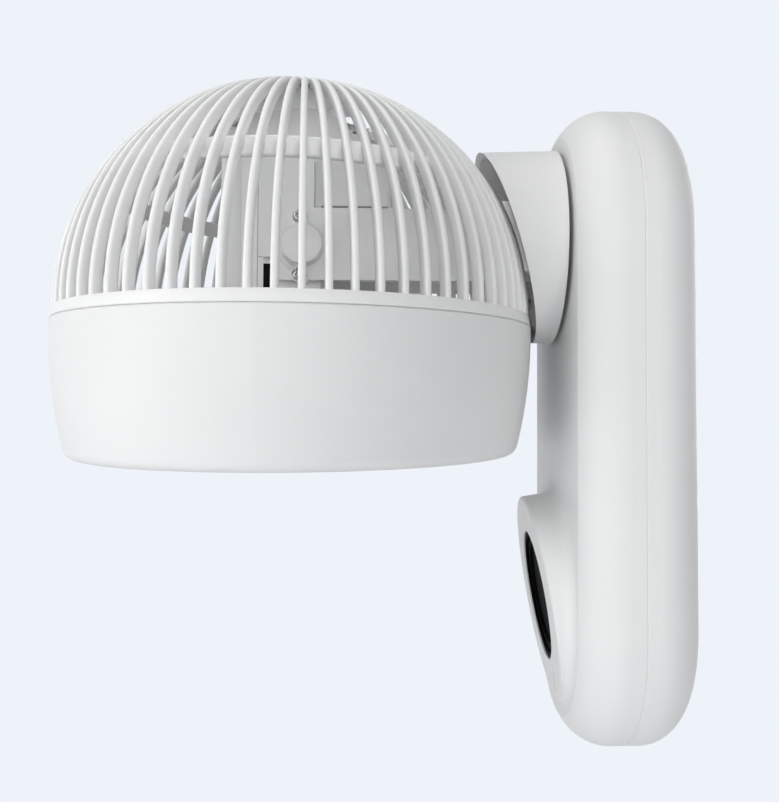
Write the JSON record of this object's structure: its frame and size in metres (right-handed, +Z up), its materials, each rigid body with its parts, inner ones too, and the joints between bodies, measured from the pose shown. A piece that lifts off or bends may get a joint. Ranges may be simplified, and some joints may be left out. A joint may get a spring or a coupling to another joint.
{
  "type": "wall mounted fan",
  "caption": "Wall mounted air circulator: ribbed dome head on a tilting neck, turned by a collar on an upright rounded body with a control dial.",
  "frame": {"origin": "centre of the wall plate's back face, on the wall", "axes": "+Z up, +Y into the wall, the fan stands out towards -Y; at rest the head faces straight down"},
  "size_m": [0.25, 0.324, 0.3495],
  "materials": {
    "white_shell": "satin white moulded plastic",
    "white_rib": "satin white moulded plastic, ribbed",
    "inner_grey": "plain pale grey plastic behind the ribs",
    "black_gloss": "gloss black control",
    "gear_white": "natural acetal, slightly creamy",
    "dark_plastic": "dark moulded plastic",
    "motor_metal": "pressed steel can",
    "shaft_steel": "ground steel",
    "screw_steel": "plated pan head screws",
    "plate_steel": "pale powder coat on sheet steel",
    "board_green": "green circuit board"
  },
  "bodies": {
    "wall_unit": {"wall_plate": "plate_steel", "plate_screws": "screw_steel", "rear_shell": "white_shell", "front_shell": "white_shell", "shell_screws": "screw_steel", "pan_bush": "gear_white", "pan_frame": "dark_plastic", "pan_frame_screws": "screw_steel", "pan_stepper": "motor_metal", "pan_stepper_screws": "screw_steel", "main_board": "board_green", "board_screws": "screw_steel", "dial_bezel": "black_gloss", "encoder": "dark_plastic", "control_board": "board_green"},
    "dial": {"dial": "black_gloss"},
    "pan_pinion": {"pan_pinion": "gear_white"},
    "collar": {"collar_shell": "white_shell", "pan_gear": "gear_white", "gear_screws": "screw_steel", "pan_clip": "gear_white", "neck_arm": "inner_grey", "neck_screws": "screw_steel", "tilt_stepper": "motor_metal", "tilt_stepper_screws": "screw_steel"},
    "head": {"tilt_shaft": "shaft_steel", "tilt_clip": "gear_white", "tower": "inner_grey", "tower_screws": "screw_steel", "motor_housing": "inner_grey", "motor_frame": "inner_grey", "motor": "motor_metal", "front_ring": "white_shell", "rear_guard": "white_rib", "head_screws": "screw_steel", "front_grille": "white_shell", "grille_badge": "white_shell"},
    "rotor": {"motor_shaft": "shaft_steel", "impeller": "white_shell", "spinner_nut": "white_shell"}
  },
  "joints": [
    {"name": "pan", "type": "hinge", "parent": "wall_unit", "child": "collar", "pos_m": [0, -0.0592, 0.0964], "axis": [0, -1, 0], "range_deg": [-60, 60]},
    {"name": "pinion_spin", "type": "hinge", "parent": "wall_unit", "child": "pan_pinion", "pos_m": [0, -0.0514, 0.04952], "axis": [0, -1, 0], "range_deg": [-240, 240]},
    {"name": "tilt", "type": "hinge", "parent": "collar", "child": "head", "pos_m": [0, -0.195, 0.092], "axis": [-1, 0, 0], "range_deg": [0, 90]},
    {"name": "rotor_spin", "type": "hinge", "parent": "head", "child": "rotor", "pos_m": [0, -0.199, 0.0108], "axis": [0, 0, -1], "continuous": true},
    {"name": "dial_turn", "type": "hinge", "parent": "wall_unit", "child": "dial", "pos_m": [0, -0.0693, -0.0944], "axis": [0, -0.9882, -0.153], "continuous": true}
  ],
  "couplings": [
    {"joint": "pinion_spin", "follows": "pan", "ratio": -4}
  ]
}
